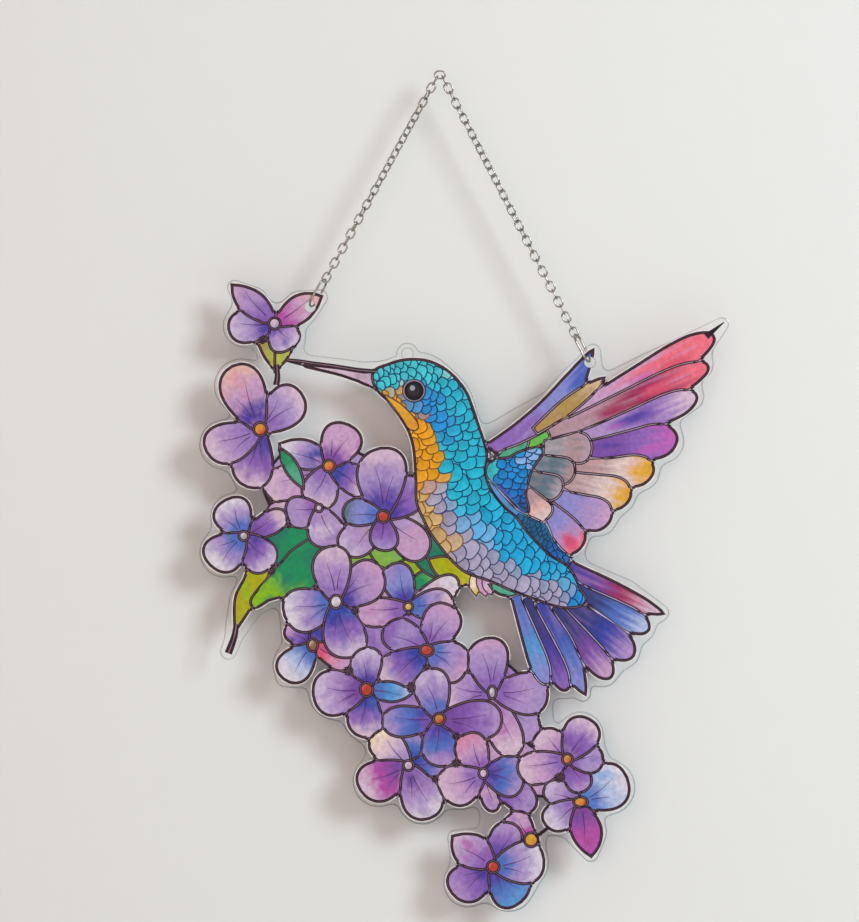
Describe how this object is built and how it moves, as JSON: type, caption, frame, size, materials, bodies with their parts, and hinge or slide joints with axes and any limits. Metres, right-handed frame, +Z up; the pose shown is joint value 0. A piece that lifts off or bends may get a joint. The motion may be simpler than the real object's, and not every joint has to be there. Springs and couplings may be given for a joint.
{
  "type": "acrylic hanging ornament",
  "caption": "Flat clear acrylic ornament cut to the outline of a hummingbird at hanging blossoms, hung by two straight runs of fine link chain from one top link.",
  "frame": {"origin": "the place where the top link bears on the hook, at the top link's upper inside", "axes": "+X to the viewer's right, +Z up, the printed face looks towards -Y"},
  "size_m": [0.1684, 0.005, 0.2675],
  "materials": {
    "clear_acrylic": "clear sheet with a polished face, cut edge, coloured print on the front",
    "nickel_plated_steel": "round wire, nickel plated, softly polished"
  },
  "bodies": {
    "root": {"acrylic_plate": "clear_acrylic", "connector_left": "nickel_plated_steel", "connector_right": "nickel_plated_steel", "chain_left": "nickel_plated_steel", "chain_right": "nickel_plated_steel", "top_link": "nickel_plated_steel"}
  },
  "joints": []
}
